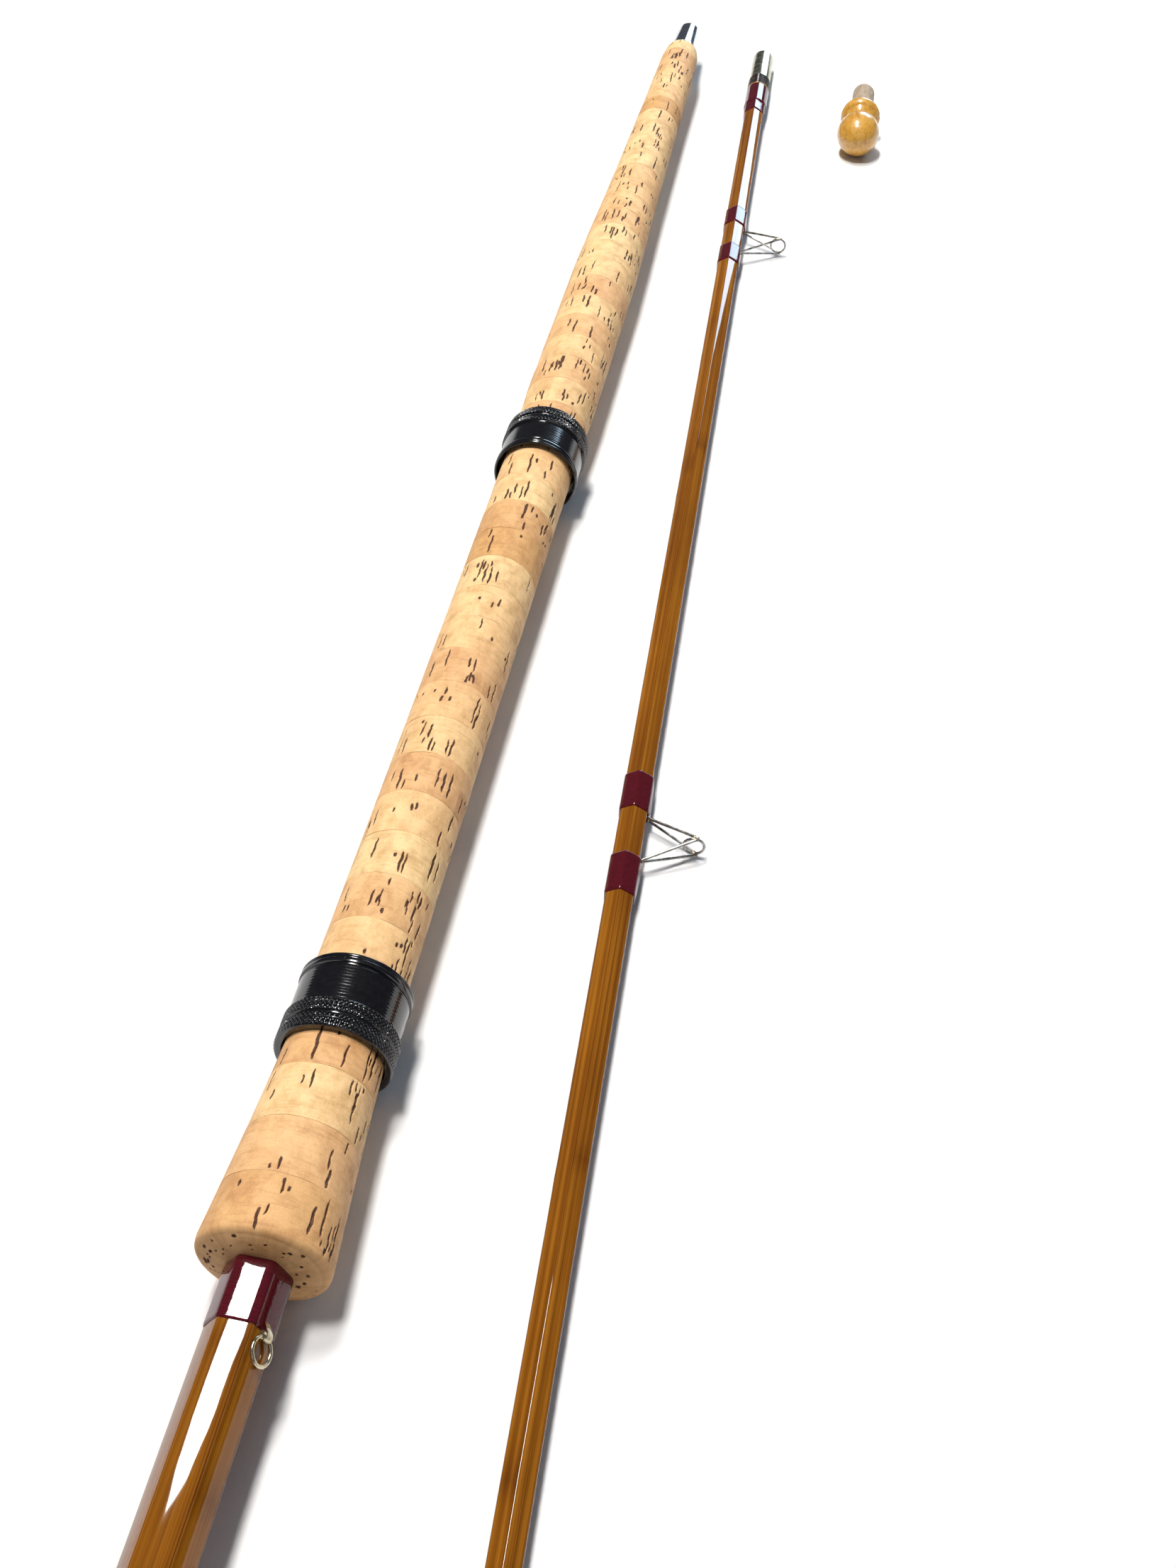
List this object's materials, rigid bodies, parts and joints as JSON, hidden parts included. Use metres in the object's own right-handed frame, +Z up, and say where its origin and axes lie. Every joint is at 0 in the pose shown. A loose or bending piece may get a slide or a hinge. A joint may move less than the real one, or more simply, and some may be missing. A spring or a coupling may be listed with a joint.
{
  "type": "split cane fishing rod",
  "caption": "Two-section hexagonal split-cane rod with full cork handle, sliding reel bands and wire guides, lying beside its turned ferrule plug.",
  "frame": {"origin": "middle of the base of the whole layout's bounding box, on the surface it lies on", "axes": "+Z up; +Y along the handle from the ferrule towards the butt cap; +X from the butt section towards the tip section"},
  "size_m": [0.1163, 1.5428, 0.0309],
  "materials": {
    "cane": "gloss",
    "cork": "matte",
    "maroon_thread": "gloss",
    "dark_thread": "gloss",
    "gold_thread": "gloss",
    "nickel_silver": "polished",
    "guide_wire": "satin",
    "black_band": "satin",
    "cap_metal": "polished",
    "boxwood": "gloss"
  },
  "bodies": {
    "butt_section": {"butt_strip_1": "cane", "butt_strip_2": "cane", "butt_strip_3": "cane", "butt_strip_4": "cane", "butt_strip_5": "cane", "butt_strip_6": "cane", "cork_rings_1": "cork", "cork_rings_2": "cork", "cork_rings_3": "cork", "cork_rings_4": "cork", "cork_rings_5": "cork", "cork_rings_6": "cork", "cork_rings_7": "cork", "cork_rings_8": "cork", "cork_rings_9": "cork", "cork_rings_10": "cork", "cork_rings_11": "cork", "cork_rings_12": "cork", "cork_rings_13": "cork", "cork_rings_14": "cork", "cork_rings_15": "cork", "butt_cap": "cap_metal", "front_whipping": "maroon_thread", "keeper_tab": "nickel_silver", "butt_guide": "guide_wire", "butt_guide_whippings": "maroon_thread", "female_ferrule": "nickel_silver", "ferrule_welt": "nickel_silver", "ferrule_plug_disc": "nickel_silver", "female_ferrule_whipping": "maroon_thread"},
    "front_band": {"reel_band_front": "black_band"},
    "rear_band": {"reel_band_rear": "black_band"},
    "keeper": {"keeper_ring": "nickel_silver"},
    "tip_section": {"tip_strip_1": "cane", "tip_strip_2": "cane", "tip_strip_3": "cane", "tip_strip_4": "cane", "tip_strip_5": "cane", "tip_strip_6": "cane", "male_ferrule": "nickel_silver", "male_ferrule_band": "dark_thread", "gold_tipping": "gold_thread", "male_ferrule_whipping": "maroon_thread", "tip_guide_1": "guide_wire", "tip_guide_2": "guide_wire", "tip_guide_3": "guide_wire", "tip_guide_4": "guide_wire", "tip_guide_5": "guide_wire", "tip_guide_6": "guide_wire", "tip_guide_whippings_1": "maroon_thread", "tip_guide_whippings_2": "maroon_thread", "tip_guide_whippings_3": "maroon_thread", "tip_guide_whippings_4": "maroon_thread", "tip_guide_whippings_5": "maroon_thread", "tip_guide_whippings_6": "maroon_thread", "tip_ring": "guide_wire", "tip_ring_whipping": "maroon_thread"},
    "stopper": {"ferrule_stopper": "boxwood"}
  },
  "joints": [
    {"name": "front_band_slide", "type": "slide", "parent": "butt_section", "child": "front_band", "axis": [0, 1, 0], "range_m": [0, 0.085]},
    {"name": "rear_band_slide", "type": "slide", "parent": "butt_section", "child": "rear_band", "axis": [0, 1, 0], "range_m": [-0.085, 0]},
    {"name": "keeper_ring_swing", "type": "hinge", "parent": "butt_section", "child": "keeper", "pos_m": [-0.03602, 0.05525, 0.01874], "axis": [-0.4384, 0, 0.8988], "range_deg": [0, 150]},
    {"name": "tip_section_lift", "type": "slide", "parent": "butt_section", "child": "tip_section", "axis": [0, 0, 1], "range_m": [0, 0.3]},
    {"name": "stopper_lift", "type": "slide", "parent": "butt_section", "child": "stopper", "axis": [0, 0, 1], "range_m": [0, 0.3]}
  ]
}
